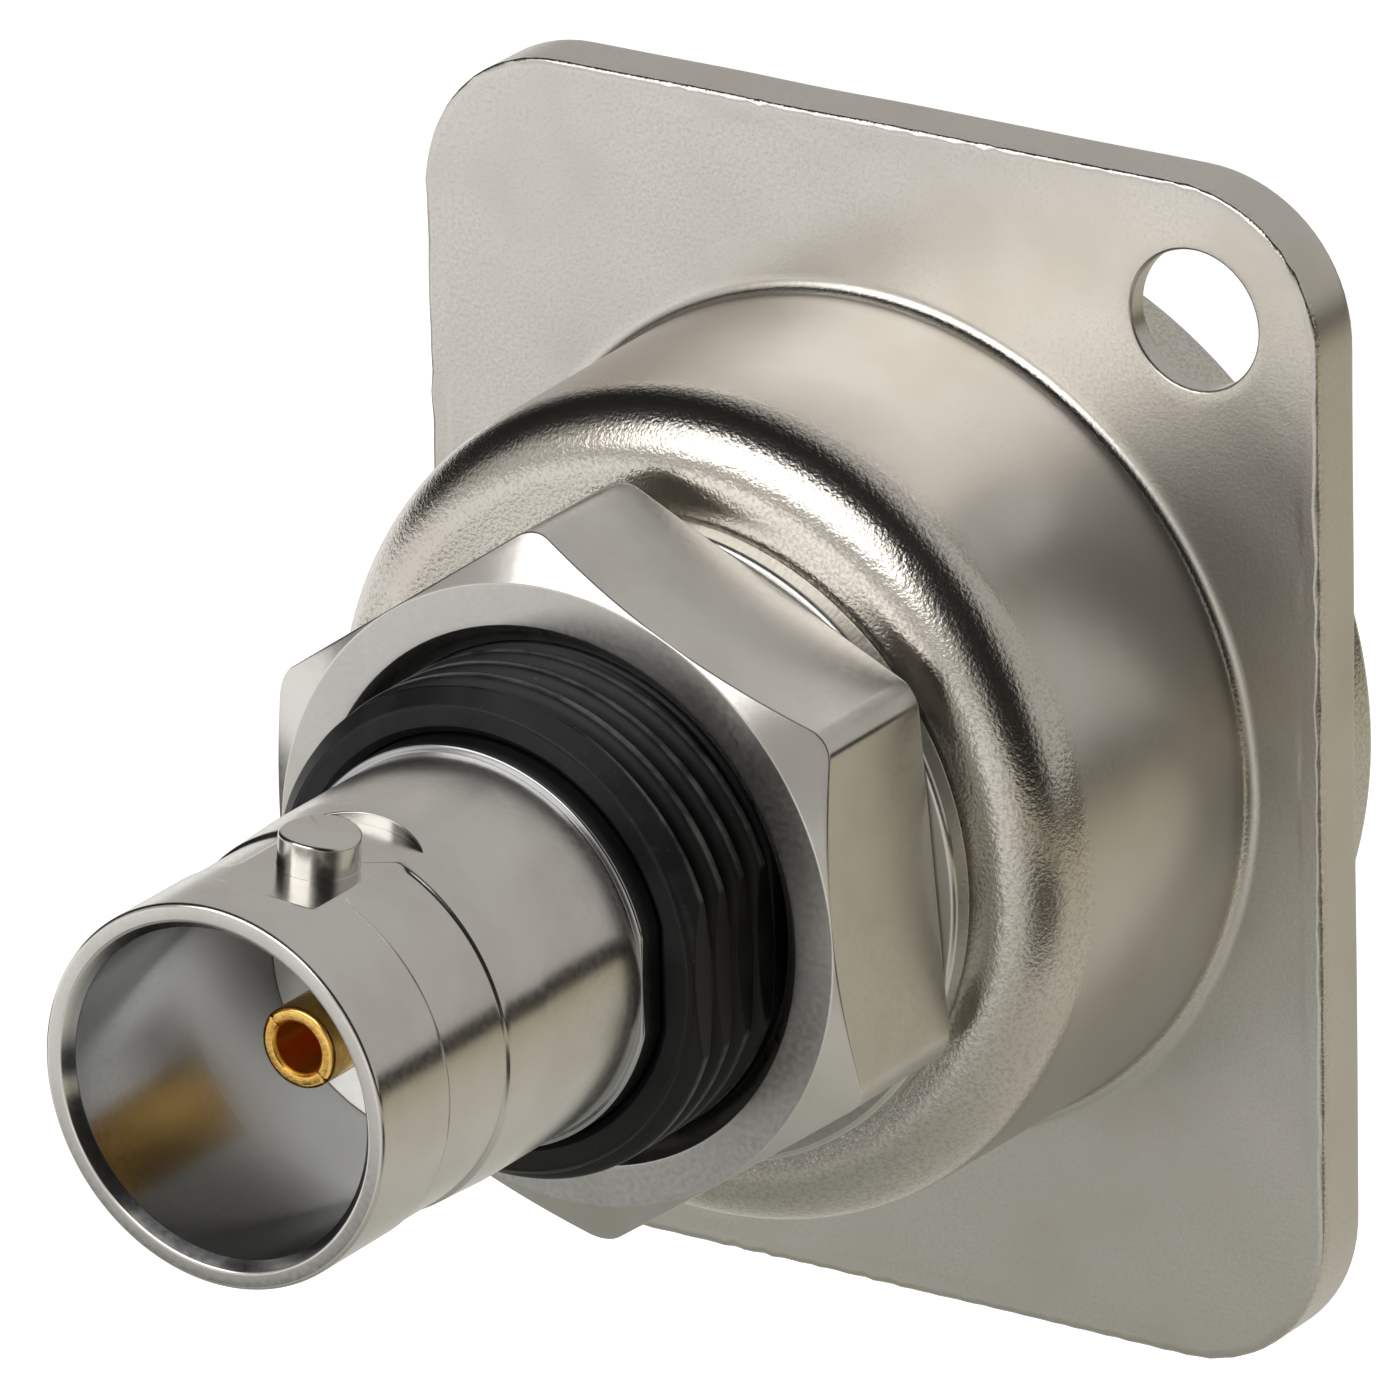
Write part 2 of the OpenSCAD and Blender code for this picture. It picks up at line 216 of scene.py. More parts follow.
class Shell:
    """Gathers grid patches in mm and welds them into one closed mesh."""

    def __init__(self) -> None:
        """Starts empty."""
        self._points: list[Array] = []
        self._quads: list[Array] = []
        self._grain: list[Array] = []
        self._count = 0

    def patch(self, points: Array, loop: bool = False,
              windows: Sequence[tuple[tuple[int, int], Array]] = (), flip: bool = False,
              grain: float | Array = 1.0) -> "Shell":
        """Adds one grid of points.

        Args:
            points: (rows, columns, 3) in mm.
            loop: Whether the last row joins the first, as the last column always does.
            windows: Rows and columns of rectangles that are left open.
            flip: Whether the faces turn the other way.
            grain: What the finish reads, one value, one a row, or one a point.

        Returns:
            The shell itself, so that a piece of one patch takes one line.
        """
        rows, columns = points.shape[:2]
        keep = np.ones((rows, columns), bool)
        keep[-1] = loop
        for (first, last), cols in windows:
            keep[first:last, cols[:-1]] = False
        i, j = np.nonzero(keep)
        i2, j2 = (i + 1) % rows, (j + 1) % columns
        quads = np.stack([i * columns + j, i2 * columns + j,
                          i2 * columns + j2, i * columns + j2], -1)
        values = np.asarray(grain, float)
        values = values[:, None] if values.ndim == 1 else values
        self._points.append(points.reshape(-1, 3))
        self._grain.append(np.broadcast_to(values, (rows, columns)).reshape(-1))
        self._quads.append((quads[:, ::-1] if flip else quads) + self._count)
        self._count += rows * columns
        return self

    def build(self, name: str) -> bpy.types.Object:
        """Welds the patches, turns the faces outwards and makes the object.

        A face's area vector is half the cross product of its diagonals. Vertex normals are
        weighted by area, so that flats stay flat beside roundings.
        """
        points, quads = np.concatenate(self._points), np.concatenate(self._quads)
        _, first, weld = np.unique(np.round(points / WELD_MM).astype(np.int64), axis=0,
                                   return_index=True, return_inverse=True)
        points, grain = points[first], np.concatenate(self._grain)[first]
        quads = weld.reshape(-1)[quads]
        same = quads == np.roll(quads, -1, axis=1)
        whole = quads[same.sum(1) == 0]
        whole = whole[(whole[:, 0] != whole[:, 2]) & (whole[:, 1] != whole[:, 3])]
        thin = np.concatenate([np.delete(quads[(same.sum(1) == 1) & same[:, k]], k, axis=1)
                               for k in range(4)])
        faces, volume, normals = [whole, thin], 0.0, np.zeros_like(points)
        for ends in faces:
            a, b, c, d = (points[ends[:, k]] for k in (0, 1, 2, -1))
            area = np.cross(c - a, d - b) / 2
            volume += (points[ends].mean(1) * area).sum()
            for k in range(ends.shape[1]):
                np.add.at(normals, ends[:, k], area)
        if volume < 0:
            faces, normals = [ends[:, ::-1] for ends in faces], -normals
        normals /= np.linalg.norm(normals, axis=1, keepdims=True) + 1e-15
        mesh = bpy.data.meshes.new(name)
        mesh.from_pydata(points * MM, [], faces[0].tolist() + faces[1].tolist())
        mesh.attributes.new("grain", "FLOAT", "POINT").data.foreach_set("value", grain)
        mesh.validate(verbose=False)
        mesh.shade_smooth()
        if len(mesh.vertices) == len(normals):
            mesh.normals_split_custom_set_from_vertices(normals)
        return linked(name, mesh)


# ------------------------------------------------------------------ finishes


def linear(code: str) -> tuple[float, float, float, float]:
    """Turns an sRGB hex colour into linear light, with full alpha."""
    values = np.array([int(code[k:k + 2], 16) for k in (1, 3, 5)]) / 255
    low, high = values / 12.92, ((values + 0.055) / 1.055) ** 2.4
    return (*np.where(values <= 0.04045, low, high).tolist(), 1.0)


def add_node(tree: Tree, kind: str, values: dict | None = None) -> bpy.types.Node:
    """Adds one node, links each value that is an output, and sets the rest.

    Args:
        tree: The tree that gets the node.
        kind: Blender's type name of the node.
        values: Property names, or socket names or numbers, with their values.

    Returns:
        The new node.
    """
    node = tree.nodes.new(kind)
    for key, value in (values or {}).items():
        if isinstance(value, Socket):
            tree.links.new(value, node.inputs[key])
        elif isinstance(key, str) and hasattr(node, key):
            setattr(node, key, value)
        else:
            node.inputs[key].default_value = value
    return node


def mm_noise(tree: Tree, place: Socket, size: float, detail: float = 2.0,
             roughness: float = 0.5) -> Socket:
    """Noise whose spots are about size mm wide: its scale is 1000 / size a metre."""
    return add_node(tree, "ShaderNodeTexNoise",
                    {"Scale": 1000.0 / size, "Detail": detail, "Roughness": roughness,
                     "Vector": place}).outputs["Fac"]


def remap(tree: Tree, value: Socket, source: tuple[float, float],
          target: tuple[float, float]) -> Socket:
    """Carries a value from one range to another, held at the ends."""
    return add_node(tree, "ShaderNodeMapRange",
                    {"From Min": source[0], "From Max": source[1], "To Min": target[0],
                     "To Max": target[1], "Value": value}).outputs["Result"]


def math(tree: Tree, operation: str, *values: Socket | float) -> Socket:
    """One math step on two values, either of them a socket or a number."""
    return add_node(tree, "ShaderNodeMath",
                    {"operation": operation, **dict(enumerate(values))}).outputs[0]


def vector_math(tree: Tree, operation: str, place: Socket, other: tuple | None = None,
                output: str = "Value") -> Socket:
    """One vector step on a place and a fixed vector."""
    values = {"operation": operation, 0: place} | ({} if other is None else {1: other})
    return add_node(tree, "ShaderNodeVectorMath", values).outputs[output]


def blend_colours(tree: Tree, factor: Socket, low: str | Socket, high: str | Socket) -> Socket:
    """A colour between two, each an sRGB hex colour or a socket."""
    ends = {key: linear(colour) if isinstance(colour, str) else colour
            for key, colour in ((6, low), (7, high))}
    return add_node(tree, "ShaderNodeMix", {"data_type": "RGBA", 0: factor, **ends}).outputs[2]


def bumped(tree: Tree, height: Socket, strength: Socket | float, distance: float) -> Socket:
    """The normal, tilted by a height whose full range is distance metres."""
    return add_node(tree, "ShaderNodeBump", {"Strength": strength, "Distance": distance,
                                             "Height": height}).outputs["Normal"]


class Slot(Enum):
    """The record's material slots."""

    SATIN_NICKEL = "satin_nickel"
    BLACK_PLASTIC = "black_plastic"
    BRIGHT_NICKEL = "bright_nickel"
    WHITE_INSULATOR = "white_insulator"
    GOLD_PLATE = "gold_plate"


@dataclass(frozen=True)
class Finish:
    """What every finish shares: its name and slot, and how its material is made."""

    name: str
    slot: Slot

    def material(self) -> bpy.types.Material:
        """Makes the material from what the finish feeds its one shader."""
        made = bpy.data.materials.new(self.name)
        tree = empty_tree(made)
        place = add_node(tree, "ShaderNodeTexCoord").outputs["Object"]
        grain = add_node(tree, "ShaderNodeAttribute", {"attribute_name": "grain"}).outputs["Fac"]
        shader = add_node(tree, "ShaderNodeBsdfPrincipled", self.values(tree, place, grain))
        add_node(tree, "ShaderNodeOutputMaterial", {"Surface": shader.outputs["BSDF"]})
        return made

    def values(self, tree: Tree, place: Socket, grain: Socket) -> dict:
        """What goes into the shader, from the place on the piece and the mesh's grain value."""
        raise NotImplementedError


@dataclass(frozen=True)
class NickelOnZinc(Finish):
    """Satin nickel on a zinc die casting: a pale warm grey that sparkles where the die is rough.

    The die's skin has fine crystals under the plating, so the shoulder glitters in tiny
    points, while the drafted wall of the cup, polished in the die, stays smooth.
    """

    base: str = "#cecbc6"
    shade: str = "#b3aca0"
    roughness: float = 0.21
    wall_roughness: float = 0.31
    grain_mm: float = 0.10
    bump_m: float = 1.5e-5

    def values(self, tree: Tree, place: Socket, grain: Socket) -> dict:
        """Grain in bump and roughness, driven by the mesh's grain value; soft warm blotches."""
        fine = mm_noise(tree, place, self.grain_mm, 1.5, 0.6)
        coarse = mm_noise(tree, place, self.grain_mm * 3.1, 1.0)
        blotch = remap(tree, mm_noise(tree, place, 5.0, 3.0), (0.40, 0.72), (0.0, 0.55))
        speckle = math(tree, "MULTIPLY", remap(tree, fine, (0.36, 0.66), (0.0, 0.8)), grain)
        gloss = remap(tree, grain, (0.5, 1), (self.wall_roughness, self.roughness))
        height = math(tree, "ADD", fine, math(tree, "MULTIPLY", coarse, 0.3))
        strength = remap(tree, grain, (0.3, 1), (0.02, 0.9))
        return {"Metallic": 1.0,
                "Base Color": blend_colours(tree, math(tree, "MAXIMUM", blotch, speckle),
                                            self.base, self.shade),
                "Roughness": math(tree, "ADD",
                                  remap(tree, fine, (0.3, 0.7), (-0.02, 0.03)), gloss),
                "Normal": bumped(tree, height, strength, self.bump_m)}


@dataclass(frozen=True)
class NickelOnBrass(Finish):
    """Bright nickel on turned brass: a clear grey mirror, smeared across the turning lines.

    The tool's lines run round the axis, too fine to draw, so the gloss is uneven instead:
    what the metal mirrors is drawn out along a barrel and outwards over a face.
    """

    base: str = "#cdcbc7"
    shade: str = "#bbb8b1"
    # Painted shade: the darker grey given to the bore.
    painted_inside_tone: str = "#a9aaab"
    roughness: float = 0.19
    uneven: float = 0.65

    def values(self, tree: Tree, place: Socket, grain: Socket) -> dict:
        """Uneven gloss round the axis, soft stains; a grain value of 0 marks the bore, painted
        darker as shade.
        """
        parts = add_node(tree, "ShaderNodeSeparateXYZ", {0: place}).outputs
        outwards = add_node(tree, "ShaderNodeCombineXYZ", {0: parts[0], 1: 0.0, 2: parts[2]})
        unit = vector_math(tree, "NORMALIZE", outwards.outputs[0], output="Vector")
        stain = remap(tree, mm_noise(tree, place, 2.5, 4.0), (0.45, 0.75), (0.0, 0.6))
        plated = blend_colours(tree, stain, self.base, self.shade)
        scuff = mm_noise(tree, place, 0.15, 2.0)
        return {"Metallic": 1.0, "Anisotropic": self.uneven,
                # A grain value of 0 takes the painted shade colour, which darkens the bore.
                "Base Color": blend_colours(tree, grain, self.painted_inside_tone, plated),
                "Roughness": remap(tree, scuff, (0.3, 0.7),
                                   (self.roughness - 0.02, self.roughness + 0.03)),
                "Normal": bumped(tree, scuff, 0.05, 1e-5),
                "Tangent": vector_math(tree, "ADD", unit, (0.0, 1.0, 0.0), "Vector")}


@dataclass(frozen=True)
class BlackAcetal(Finish):
    """Black acetal, moulded: near-black with a soft sheen, grey dust along the thread crests."""

    base: str = "#0d0d0e"
    dust: str = "#2c2c2d"
    worn: str = "#565654"
    roughness: float = 0.42

    def values(self, tree: Tree, place: Socket, grain: Socket) -> dict:
        """Specks and a fine mould skin on a dark plastic; the mesh's grain value marks crests."""
        speck = remap(tree, mm_noise(tree, place, 0.12, 2.0, 0.7), (0.62, 0.74), (0.0, 0.8))
        haze = remap(tree, mm_noise(tree, place, 1.4, 3.0), (0.45, 0.8), (0.0, 0.35))
        patchy = remap(tree, mm_noise(tree, place, 1.1, 3.0, 0.7), (0.35, 0.65), (0.1, 1.0))
        dark = blend_colours(tree, math(tree, "MAXIMUM", speck, haze), self.base, self.dust)
        return {"IOR": 1.48, "Specular IOR Level": 0.28,
                "Base Color": blend_colours(tree, math(tree, "MULTIPLY", grain, patchy),
                                            dark, self.worn),
                "Roughness": remap(tree, haze, (0, 1), (self.roughness, self.roughness + 0.25)),
                "Normal": bumped(tree, mm_noise(tree, place, 0.07, 2.0), 0.25, 6e-6)}


@dataclass(frozen=True)
class TurnedPtfe(Finish):
    """Turned PTFE: a milky white that light enters a little, faintly mottled."""

    base: str = "#f1f0ec"
    shade: str = "#dedcd4"

    def values(self, tree: Tree, place: Socket, grain: Socket) -> dict:
        """Waxy gloss over faint mottling."""
        mottle = remap(tree, mm_noise(tree, place, 0.8, 3.0), (0.4, 0.7), (0.0, 0.7))
        return {"IOR": 1.35, "Subsurface Weight": 0.15,
                "Subsurface Radius": (4e-4, 4e-4, 4e-4), "Subsurface Scale": 1.0,
                "Base Color": blend_colours(tree, mottle, self.base, self.shade),
                "Roughness": remap(tree, mottle, (0, 1), (0.34, 0.46)),
                "Normal": bumped(tree, mm_noise(tree, place, 0.1, 2.0), 0.2, 8e-6)}


@dataclass(frozen=True)
class GoldPlate(Finish):
    """Hard gold on a turned spring alloy: deep warm yellow, bright, a painted-light orange in its
    sockets.
    """

    base: str = "#f3c670"
    shade: str = "#d5973a"
    # Painted light: the brighter orange given to the sockets.
    painted_inside_tone: str = "#ffbd4a"
    roughness: float = 0.17
    inside_roughness: float = 0.36

    def values(self, tree: Tree, place: Socket, grain: Socket) -> dict:
        """Warm darker patches, a light orange-peel; a grain value of 0 marks the sockets, painted
        brighter orange as light.
        """
        thin = remap(tree, mm_noise(tree, place, 0.5, 3.0), (0.42, 0.7), (0.0, 0.7))
        peel = mm_noise(tree, place, 0.12, 2.0)
        plated = blend_colours(tree, thin, self.base, self.shade)
        gloss = remap(tree, grain, (0, 1), (self.inside_roughness, self.roughness))
        # A grain value of 0 takes the sockets' painted light colour.
        return {"Metallic": 1.0, "Base Color": blend_colours(tree, grain, self.painted_inside_tone, plated),
                "Roughness": math(tree, "ADD",
                                  remap(tree, peel, (0.3, 0.7), (-0.04, 0.08)), gloss),
                "Normal": bumped(tree, peel, 0.25, 1e-5)}


@dataclass
class Part:
    """What every sub-assembly shares: it stands for a CAD node and wears one finish."""

    node: str
    finish: Finish

    def shell(self) -> Shell:
        """Works out the surfaces of the piece."""
        raise NotImplementedError

    def build(self) -> None:
        """Makes the mesh, puts it in place of its CAD node, dresses it and logs it."""
        piece = self.shell().build(f"{self.node}_surface")
        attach(piece, "root")
        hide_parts(self.node)
        piece.data.materials.append(self.finish.material())
        LOG.info("%s: %d faces, %s", piece.name, len(piece.data.polygons), self.finish.name)


# ------------------------------------------------------------------ housing


@dataclass
class Housing(Part):
    """The die-cast flange with its cup behind the panel and its collar on the user's side."""

    half_width: float = 13.0
    half_height: float = 15.5
    thickness: float = 1.8
    corner: float = 4.0
    hole_at: tuple[float, float] = (9.5, 12.0)
    hole_r: float = 1.8
    hole_bevel: float = 0.08
    hole_reach: float = 14.2
    sink_r: float = 3.0
    waist_level: float = 0.3
    cup_r: float = 10.9
    cup_top_r: float = 10.75
    cup_depth: float = 8.8
    shoulder: float = 1.8
    root: float = 0.35
    well_r: float = 9.6
    floor_t: float = 1.6
    collar_r: float = 11.8
    collar_front: float = 4.6
    bore_r: float = 6.4
    bore_flat: float = 6.05
    user_edge: float = 0.2
    rim_wave: float = 0.015
    ragged: tuple[float, float, float] = (0.04, 0.10, 0.2)
    ragged_wave: float = 0.04
    face_wave: float = 0.008
    flat_polish: float = 0.5
    step: float = 1.0

    def outline(self, phi: Array) -> Array:
        """Distance from the axis to the flange's rounded-rectangle edge along each turn.

        Along a side it is half width / |sin| or half height / |cos|; in a corner it is the
        far crossing of the ray with the corner's circle.
        """
        s, c = np.abs(np.sin(phi)) + 1e-9, np.abs(np.cos(phi)) + 1e-9
        side = np.minimum(self.half_width / s, self.half_height / c)
        cx, cz = self.half_width - self.corner, self.half_height - self.corner
        along = cx * s + cz * c
        gap = along ** 2 - (cx ** 2 + cz ** 2 - self.corner ** 2)
        arc = along + np.sqrt(np.maximum(gap, 0))
        in_corner = (side * s > cx) & (side * c > cz) & (gap > 0)
        return np.where(in_corner, np.minimum(arc, side), side)

    def shell(self) -> Shell:
        """One section carried round the axis, with a patch about each screw hole."""
        phi = columns_between([0, 90, 180, 270], self.step)
        edge = self.outline(phi)
        rim = edge * np.sin(phi), edge * np.cos(phi)
        side = edge - 0.02 + self.rim_wave * wobble(*rim, 9.0, 4)
        least, mean, most = self.ragged
        panel_break = np.clip(mean + self.ragged_wave * wobble(*rim, 0.9, 3), least, most)
        bore = flatted(self.bore_r, self.bore_flat, phi)
        seat = self.floor_t - self.cup_depth
        section = rounded_section([
            Corner(bore, seat),
            Corner(bore, -self.cup_depth, 0.1, rows=2, steps=2),
            Corner(self.cup_top_r, -self.cup_depth, self.shoulder, rows=8, steps=16),
            Corner(self.cup_r, 0.0, self.root, rows=12, steps=5),
            Corner(edge - panel_break, 0.0, rows=34),
            Corner(side, panel_break * 0.8, 0.06, steps=2),
            Corner(side, self.thickness, self.user_edge, rows=6),
            Corner(self.collar_r, self.thickness, 0.12, rows=33, steps=3),
            Corner(self.collar_r, self.collar_front, 0.3, rows=5, steps=5),
            Corner(self.well_r + 0.4, self.collar_front, 0.05, rows=3, steps=1),
            Corner(self.well_r, self.collar_front - 0.4, 0.05, steps=1),
            Corner(self.well_r, seat, 0.5, rows=10, steps=5),
            Corner(bore, seat, rows=6),
        ], len(phi))
        radius, level = section[..., 0], section[..., 1]
        grid = turned(section, phi)
        on_panel = (np.abs(level) < 1e-6) & (radius > self.cup_r) & (radius < edge - 0.6)
        uneven = self.face_wave * wobble(grid[..., 0], grid[..., 2], 6.0, 7)
        grid[..., 1] += np.where(on_panel, uneven, 0)
        panel = self.face_rows(section, 0.0, self.cup_r + self.root)
        user = self.face_rows(section, self.thickness, self.collar_r)
        windows, patches = [], []
        for sign in (1, -1):
            for rows, rings in ((panel, self.panel_rings), (user, self.user_rings)):
                window, loop, hole = self.hole_window(grid, phi, rows, sign)
                windows.append(window)
                patches.append(rings(loop, hole))
        shell = Shell().patch(grid, windows=windows, grain=self.grain(section, edge))
        for rings in patches:
            shell.patch(rings, grain=1.0 - self.flat_polish)
        return shell

    def grain(self, section: Array, edge: Array) -> Array:
        """How rough the die was: half on the panel face, little on the wall and rim, else full."""
        radius, level = section[..., 0], section[..., 1]
        wall = np.clip((level + 7.2) / 0.5, 0, 1) * np.clip((-0.15 - level) / 0.3, 0, 1)
        rim = np.clip((level - 0.2) / 0.1, 0, 1) * (radius > edge - 0.5) * (level < 1.7)
        flat = (level > -0.1) & (level < 0.02)
        return 1 - 0.85 * wall * (radius < 12) - 0.75 * rim - self.flat_polish * flat

    def face_rows(self, section: Array, level: float, inner: float) -> tuple[int, int]:
        """First and last row of the flat face at a level, outside a radius."""
        flat = (np.abs(section[..., 1] - level) < 1e-6) & (section[..., 0] >= inner - 1e-6)
        rows = np.nonzero(flat.all(1))[0]
        return int(rows[0]), int(rows[-1])

    def hole_window(self, grid: Array, phi: Array, rows: tuple[int, int], sign: int
                    ) -> tuple[tuple[tuple[int, int], Array], Array, Array]:
        """Opens a window about a screw hole.

        Args:
            grid: The points of the whole section.
            phi: The turn of each column.
            rows: First and last row of the face.
            sign: 1 for the upper right hole, -1 for the lower left.

        Returns:
            The window, its rim, and the hole's centre with the rim's directions from it.
        """
        centre = sign * np.array(self.hole_at)
        columns, _ = columns_near(phi, np.arctan2(*centre), self.hole_reach)
        window = ((rows[0] + 1, rows[1] - 1), columns)
        loop = window_loop(grid, *window)
        away = loop[:, [0, 2]] - centre
        heading = away / np.linalg.norm(away, axis=1, keepdims=True)
        return window, loop, np.concatenate([np.broadcast_to(centre, heading.shape), heading], 1)

    @staticmethod
    def ring_at(hole: Array, radius: float, level: float) -> Array:
        """One ring of points about the hole at a radius and level."""
        x, z = (hole[:, :2] + radius * hole[:, 2:]).T
        return np.stack([x, np.full_like(x, level), z], -1)

    def waist(self, hole: Array, level: float) -> Array:
        """Rings of the hole's wall from a level to the waist, where both faces' walls meet.

        On the way each point turns to the nearest of the evenly spaced places, which are the
        same from either side, so the two walls weld.
        """
        turns = np.unwrap(np.arctan2(hole[:, 2], hole[:, 3]))
        gap = 2 * np.pi / len(turns)
        steps = np.sign(turns[-1] - turns[0]) * gap * np.arange(len(turns))
        even = np.round((turns - steps).mean() / gap) * gap + steps
        rings = []
        for w in np.linspace(0, 1, 9):
            now = turns * (1 - w) + even * w
            aim = np.concatenate([hole[:, :2], np.sin(now)[:, None], np.cos(now)[:, None]], 1)
            rings.append(self.ring_at(aim, self.hole_r, level * (1 - w) + self.waist_level * w))
        return np.stack(rings)

    def panel_rings(self, loop: Array, hole: Array) -> Array:
        """From the window's rim on the panel face into the hole, down to its waist."""
        bevel = self.hole_bevel
        edge = self.ring_at(hole, self.hole_r + bevel * 0.3, bevel * 0.35)
        face = blended_rings(loop, self.ring_at(hole, self.hole_r + bevel, 0.0), 7)
        return np.concatenate([face, edge[None], self.waist(hole, bevel)])

    def user_rings(self, loop: Array, hole: Array) -> Array:
        """From the window's rim on the user's face down the countersink to the waist."""
        deep = self.sink_r - self.hole_r
        face = blended_rings(loop, self.ring_at(hole, self.sink_r + 0.03, self.thickness), 5)
        cone = [self.ring_at(hole, self.sink_r - share, self.thickness - drop)
                for share, drop in ((0, 0.03), (deep / 2, deep / 2), (deep - 0.03, deep - 0.02))]
        return np.concatenate([face, cone, self.waist(hole, self.thickness - deep - 0.02)])


# ------------------------------------------------------------------ bushing


@dataclass
class Bushing(Part):
    """The black moulding that keeps the jacks apart from the housing, threaded outside."""

    thread_r: float = 6.35
    pitch: float = 0.907
    depth: float = 0.42
    crest_power: float = 1.6
    flat: float = 6.0
    head_r: float = 8.8
    head_level: float = -6.2
    floor_level: float = -7.2
    reach: float = 17.4
    end_bevel: float = 0.45
    thread_from: float = 13.7
    phase: float = 0.35
    bore_r: float = 4.75
    web_level: float = -9.0
    ring_bore: float = 5.2
    ring_flat: float = 5.04
    row_mm: float = 0.03

    def thread(self, phi: Array, level: Array) -> Array:
        """Radius of the thread: a rounded V that climbs one pitch a turn, cut by bevel and flat.

        The place across the groove is the fraction of (level - pitch * turn) in one pitch;
        the groove is a raised cosine to a power, so that crests are broad and roots narrow.
        """
        place = (level + self.pitch * (self.phase - phi / (2 * np.pi))) / self.pitch
        groove = (0.5 + 0.5 * np.cos(2 * np.pi * place)) ** self.crest_power
        bevel = self.thread_r - np.maximum(0, self.end_bevel - (self.reach + level))
        return flatted(np.minimum(self.thread_r - self.depth * groove, bevel), self.flat, phi)

    def shell(self) -> Shell:
        """Bore, head and shank as one closed section, with fine rows along the thread."""
        phi = columns_between([0, 90, 180, 270], 1.0)
        n = len(phi)
        key = flatted(self.ring_bore, self.ring_flat, phi)
        shank = flatted(self.thread_r, self.flat, phi)
        end = flatted(self.thread_r - self.end_bevel, self.flat, phi)
        levels = -np.arange(self.thread_from, self.reach, self.row_mm)[:, None]
        thread = self.thread(phi[None], levels)
        rows = np.stack([thread, np.broadcast_to(levels, thread.shape)], -1)
        lead_in = rounded_section([
            Corner(self.bore_r, self.web_level),
            Corner(self.bore_r, self.head_level, 0.1, rows=2, steps=2),
            Corner(self.head_r, self.head_level, 0.2, rows=4, steps=3),
            Corner(self.head_r, self.floor_level, rows=2),
            Corner(shank, self.floor_level, rows=3),
            Corner(shank, 0.05 - self.thread_from, rows=3),
        ], n)
        end_face = rounded_section([
            Corner(end, 0.02 - self.reach),
            Corner(end - 0.06, -self.reach, 0.02, steps=1),
            Corner(key + 0.2, -self.reach, 0.04, rows=4, steps=2),
            Corner(key, 0.2 - self.reach, 0.04, steps=2),
            Corner(key, self.web_level, rows=6),
            Corner(self.bore_r, self.web_level, rows=2),
        ], n)
        worn = np.clip((thread - self.thread_r + 0.03) / 0.025, 0, 1)
        crest = np.concatenate([np.zeros(lead_in.shape[:2]), worn, np.zeros(end_face.shape[:2])])
        return Shell().patch(turned(np.concatenate([lead_in, rows, end_face]), phi), grain=crest)


# ------------------------------------------------------------------ washer and nut


@dataclass
class Washer(Part):
    """The flat washer, a little off centre behind the nut."""

    hole_r: float = 6.75
    rim_r: float = 8.3
    front: float = -8.8
    back: float = -9.6
    centre: tuple[float, float] = (0.2, -0.2)

    def shell(self) -> Shell:
        """A ring with stamped, rounded edges."""
        phi = columns_between([0, 180], 2.0)
        section = rounded_section([
            Corner(self.hole_r, self.front, 0.08, steps=3),
            Corner(self.rim_r, self.front, 0.22, rows=3, steps=5),
            Corner(self.rim_r, self.back, 0.16, steps=5),
            Corner(self.hole_r, self.back, 0.08, rows=3, steps=3),
        ], len(phi), closed=True)
        return Shell().patch(turned(section, phi, self.centre), loop=True)


@dataclass
class HexNut(Part):
    """The hex nut: corners a little worn, a crown turned on its front, a bevelled thread hole."""

    across_flats: float = 16.0
    thread_r: float = 6.35
    back: float = -9.6
    front: float = -14.25
    turn: float = 25.0
    corner_round: float = 0.9
    sink: float = 0.55
    crown: float = 30.0

    def outline(self) -> Array:
        """The hexagon as (columns, 2) of X and Z, its corners rounded.

        Each corner is a short arc of radius corner_round that touches both flats.
        """
        reach, fold = self.across_flats / 2, np.radians(30)
        centre = (reach - self.corner_round) / np.cos(fold)
        half = (reach - self.corner_round) * np.tan(fold)
        s = np.linspace(-half, half, 31)[1:-1, None]
        columns = []
        for middle in np.radians(self.turn + 60 * np.arange(6)):
            corner = middle + fold
            t = np.linspace(-fold, fold, 13) + corner
            columns.append(reach * np.array([np.sin(middle), np.cos(middle)])
                           + s * np.array([np.cos(middle), -np.sin(middle)]))
            columns.append(centre * np.array([np.sin(corner), np.cos(corner)])
                           + self.corner_round * np.stack([np.sin(t), np.cos(t)], -1))
        return np.concatenate(columns)

    def shell(self) -> Shell:
        """Bore, back face, side up to the crown, crown, front face and bevel, closed."""
        rim = self.outline()
        phi, reach = np.arctan2(rim[:, 0], rim[:, 1]), np.hypot(rim[:, 0], rim[:, 1])
        face_r = self.across_flats / 2 - 0.03
        crown_at = self.front + (reach - face_r) * np.tan(np.radians(self.crown))
        section = rounded_section([
            Corner(self.thread_r, self.back - 0.3),
            Corner(self.thread_r + 0.3, self.back, 0.03, steps=1),
            Corner(reach, self.back, 0.12, rows=3, steps=3),
            Corner(reach, crown_at, 0.07, rows=6, steps=3),
            Corner(face_r, self.front, 0.13, rows=5, steps=7),
            Corner(self.thread_r + self.sink, self.front, 0.05, rows=8, steps=2),
            Corner(self.thread_r, self.front + self.sink, 0.05, rows=2, steps=2),
            Corner(self.thread_r, self.back - 0.3, rows=4),
        ], len(phi))
        return Shell().patch(turned(section, phi))


# ------------------------------------------------------------------ jacks


class Tail(Enum):
    """How a jack body ends: a keyed ring in the bushing, or a flange and a spigot."""

    RING = "ring"
    FLANGE = "flange"


